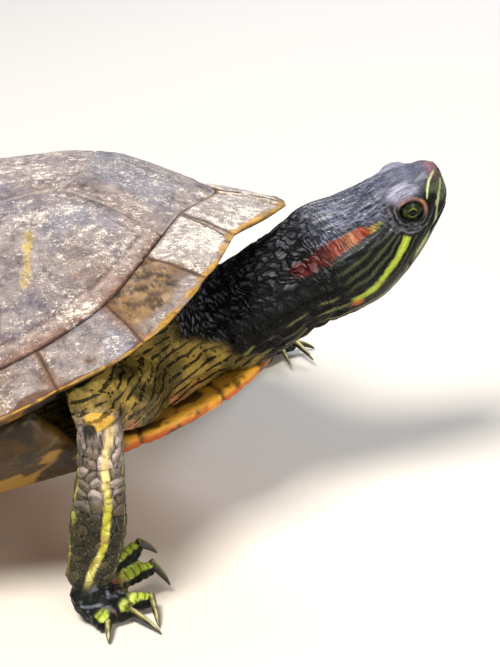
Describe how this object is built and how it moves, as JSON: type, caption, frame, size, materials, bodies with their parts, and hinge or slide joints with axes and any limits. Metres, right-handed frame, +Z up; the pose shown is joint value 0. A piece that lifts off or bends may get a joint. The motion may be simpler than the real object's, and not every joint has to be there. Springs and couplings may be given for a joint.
{
  "type": "red-eared slider turtle",
  "caption": "Life-size adult red-eared slider turtle standing with head and neck stretched out, domed shell, striped skin and clawed feet.",
  "frame": {"origin": "middle of the bounding box at floor level", "axes": "+X forward along the turtle, +Y to its left, +Z up"},
  "size_m": [0.2576, 0.225, 0.1067],
  "materials": {
    "carapace_horn": "sun-bleached grey-lilac horn with pale film and worn ridges",
    "rim_horn": "weathered grey and ochre horn with yellow edge",
    "plastron_horn": "semi-matt orange-yellow horn with dark smudges",
    "skin": "dark wrinkled scaly skin with yellow-green stripes and a red ear patch",
    "eye": "wet glossy eye, dark olive iris",
    "claw": "dark horn with a paler upper edge"
  },
  "bodies": {
    "root": {"cervical": "rim_horn", "costal_left_1": "carapace_horn", "costal_left_2": "carapace_horn", "costal_left_3": "carapace_horn", "costal_left_4": "carapace_horn", "costal_right_1": "carapace_horn", "costal_right_2": "carapace_horn", "costal_right_3": "carapace_horn", "costal_right_4": "carapace_horn", "eye_left": "eye", "eye_right": "eye", "front_left_claw_1": "claw", "front_left_claw_2": "claw", "front_left_claw_3": "claw", "front_left_claw_4": "claw", "front_left_claw_5": "claw", "front_left_foot": "skin", "front_left_lower_leg": "skin", "front_left_upper_leg": "skin", "front_right_claw_1": "claw", "front_right_claw_2": "claw", "front_right_claw_3": "claw", "front_right_claw_4": "claw", "front_right_claw_5": "claw", "front_right_foot": "skin", "front_right_lower_leg": "skin", "front_right_upper_leg": "skin", "head": "skin", "hind_left_claw_1": "claw", "hind_left_claw_2": "claw", "hind_left_claw_3": "claw", "hind_left_claw_4": "claw", "hind_left_foot": "skin", "hind_left_lower_leg": "skin", "hind_left_upper_leg": "skin", "hind_right_claw_1": "claw", "hind_right_claw_2": "claw", "hind_right_claw_3": "claw", "hind_right_claw_4": "claw", "hind_right_foot": "skin", "hind_right_lower_leg": "skin", "hind_right_upper_leg": "skin", "lower_jaw": "skin", "marginals_left": "rim_horn", "marginals_right": "rim_horn", "neck": "skin", "plastron_front": "plastron_horn", "plastron_middle": "plastron_horn", "plastron_rear": "plastron_horn", "tail": "skin", "trunk": "skin", "vertebral_1": "carapace_horn", "vertebral_2": "carapace_horn", "vertebral_3": "carapace_horn", "vertebral_4": "carapace_horn", "vertebral_5": "carapace_horn"}
  },
  "joints": []
}
